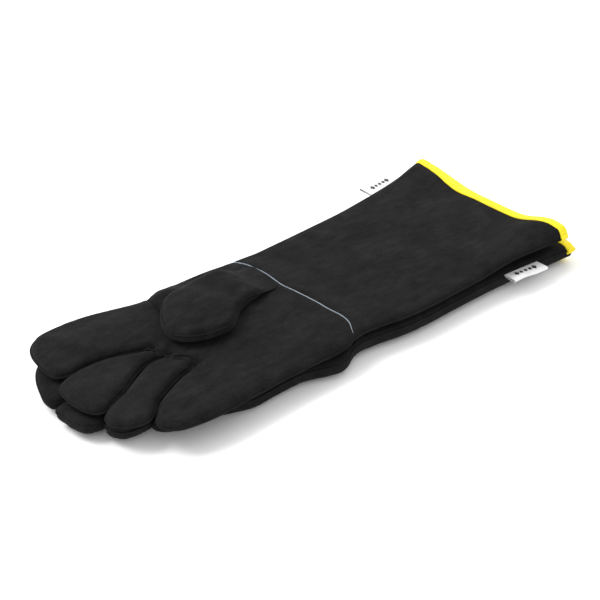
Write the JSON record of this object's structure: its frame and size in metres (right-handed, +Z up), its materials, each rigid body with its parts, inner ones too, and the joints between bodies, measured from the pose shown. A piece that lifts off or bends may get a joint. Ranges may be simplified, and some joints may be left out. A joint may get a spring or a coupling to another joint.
{
  "type": "heat resistant glove",
  "caption": "Long suede gauntlet gloves for a left and a right hand, with bound cuff mouths, piped wrists and folded labels, stacked flat, back to back, with the thumbs folded in.",
  "frame": {"origin": "middle of the lower glove's wrist line, on the surface that the pair rests on", "axes": "+X along the forearm to the cuff mouths, +Y towards the thumbs, +Z up; the upper glove is a right hand with its palm up"},
  "size_m": [0.42, 0.196, 0.0451],
  "materials": {
    "suede": "charcoal split leather with a fine nap",
    "binding": "bright yellow ribbed binding tape",
    "piping": "light grey-blue piping",
    "cotton": "natural cotton lining",
    "ribbon": "white woven ribbon"
  },
  "bodies": {
    "lower_hand": {"lower_palm": "suede", "lower_back": "suede", "lower_hand_welts": "suede", "lower_hand_lining": "cotton"},
    "lower_index": {"lower_index_front": "suede", "lower_index_back": "suede", "lower_index_fourchette": "suede", "lower_index_lining": "cotton"},
    "lower_middle": {"lower_middle_front": "suede", "lower_middle_back": "suede", "lower_middle_fourchette": "suede", "lower_middle_lining": "cotton"},
    "lower_ring": {"lower_ring_front": "suede", "lower_ring_back": "suede", "lower_ring_fourchette": "suede", "lower_ring_lining": "cotton"},
    "lower_little": {"lower_little_front": "suede", "lower_little_back": "suede", "lower_little_fourchette": "suede", "lower_little_lining": "cotton"},
    "lower_thumb": {"lower_thumb_front": "suede", "lower_thumb_back": "suede", "lower_thumb_lining": "cotton"},
    "lower_cuff": {"lower_cuff_palm_panel": "suede", "lower_cuff_back_panel": "suede", "lower_cuff_side_seams": "suede", "lower_cuff_lining": "cotton", "lower_cuff_binding": "binding", "lower_wrist_piping": "piping"},
    "lower_label": {"lower_label": "ribbon"},
    "upper_hand": {"upper_palm": "suede", "upper_back": "suede", "upper_hand_welts": "suede", "upper_hand_lining": "cotton"},
    "upper_index": {"upper_index_front": "suede", "upper_index_back": "suede", "upper_index_fourchette": "suede", "upper_index_lining": "cotton"},
    "upper_middle": {"upper_middle_front": "suede", "upper_middle_back": "suede", "upper_middle_fourchette": "suede", "upper_middle_lining": "cotton"},
    "upper_ring": {"upper_ring_front": "suede", "upper_ring_back": "suede", "upper_ring_fourchette": "suede", "upper_ring_lining": "cotton"},
    "upper_little": {"upper_little_front": "suede", "upper_little_back": "suede", "upper_little_fourchette": "suede", "upper_little_lining": "cotton"},
    "upper_thumb": {"upper_thumb_front": "suede", "upper_thumb_back": "suede", "upper_thumb_lining": "cotton"},
    "upper_cuff": {"upper_cuff_palm_panel": "suede", "upper_cuff_back_panel": "suede", "upper_cuff_side_seams": "suede", "upper_cuff_lining": "cotton", "upper_cuff_binding": "binding", "upper_wrist_piping": "piping"},
    "upper_label": {"upper_label": "ribbon"}
  },
  "joints": [
    {"name": "upper_lift", "type": "slide", "parent": "lower_hand", "child": "upper_hand", "axis": [0, 0, 1], "range_m": [0, 0.15]},
    {"name": "lower_wrist_flex", "type": "hinge", "parent": "lower_hand", "child": "lower_cuff", "pos_m": [0.00215, 0, 0], "axis": [0, 1, 0], "range_deg": [0, 60]},
    {"name": "lower_index_curl", "type": "hinge", "parent": "lower_hand", "child": "lower_index", "pos_m": [-0.13315, 0, 0], "axis": [0, -1, 0], "range_deg": [0, 70]},
    {"name": "lower_middle_curl", "type": "hinge", "parent": "lower_hand", "child": "lower_middle", "pos_m": [-0.13315, 0, 0], "axis": [0, -1, 0], "range_deg": [0, 70]},
    {"name": "lower_ring_curl", "type": "hinge", "parent": "lower_hand", "child": "lower_ring", "pos_m": [-0.13315, 0, 0], "axis": [0, -1, 0], "range_deg": [0, 70]},
    {"name": "lower_little_curl", "type": "hinge", "parent": "lower_hand", "child": "lower_little", "pos_m": [-0.13315, 0, 0], "axis": [0, -1, 0], "range_deg": [0, 70]},
    {"name": "lower_thumb_unfold", "type": "hinge", "parent": "lower_hand", "child": "lower_thumb", "pos_m": [-0.05, 0.062, 0], "axis": [1, 0, 0], "range_deg": [0, 90]},
    {"name": "lower_label_flap", "type": "hinge", "parent": "lower_cuff", "child": "lower_label", "pos_m": [0.148, -0.08117, 0.012], "axis": [0.9964, -0.0846, 0], "range_deg": [-45, 45], "stiffness_Nm_per_rad": 0.001},
    {"name": "upper_wrist_flex", "type": "hinge", "parent": "upper_hand", "child": "upper_cuff", "pos_m": [0.00215, 0, 0.0323], "axis": [0, -1, 0], "range_deg": [0, 60]},
    {"name": "upper_index_curl", "type": "hinge", "parent": "upper_hand", "child": "upper_index", "pos_m": [-0.13315, 0, 0.0323], "axis": [0, 1, 0], "range_deg": [0, 70]},
    {"name": "upper_middle_curl", "type": "hinge", "parent": "upper_hand", "child": "upper_middle", "pos_m": [-0.13315, 0, 0.0323], "axis": [0, 1, 0], "range_deg": [0, 70]},
    {"name": "upper_ring_curl", "type": "hinge", "parent": "upper_hand", "child": "upper_ring", "pos_m": [-0.13315, 0, 0.0323], "axis": [0, 1, 0], "range_deg": [0, 70]},
    {"name": "upper_little_curl", "type": "hinge", "parent": "upper_hand", "child": "upper_little", "pos_m": [-0.13315, 0, 0.0323], "axis": [0, 1, 0], "range_deg": [0, 70]},
    {"name": "upper_thumb_unfold", "type": "hinge", "parent": "upper_hand", "child": "upper_thumb", "pos_m": [-0.05, 0.062, 0.03245], "axis": [-1, 0, 0], "range_deg": [0, 90]},
    {"name": "upper_label_flap", "type": "hinge", "parent": "upper_cuff", "child": "upper_label", "pos_m": [0.148, 0.08117, 0.0203], "axis": [0.9964, 0.0846, 0], "range_deg": [-45, 45], "stiffness_Nm_per_rad": 0.001}
  ]
}
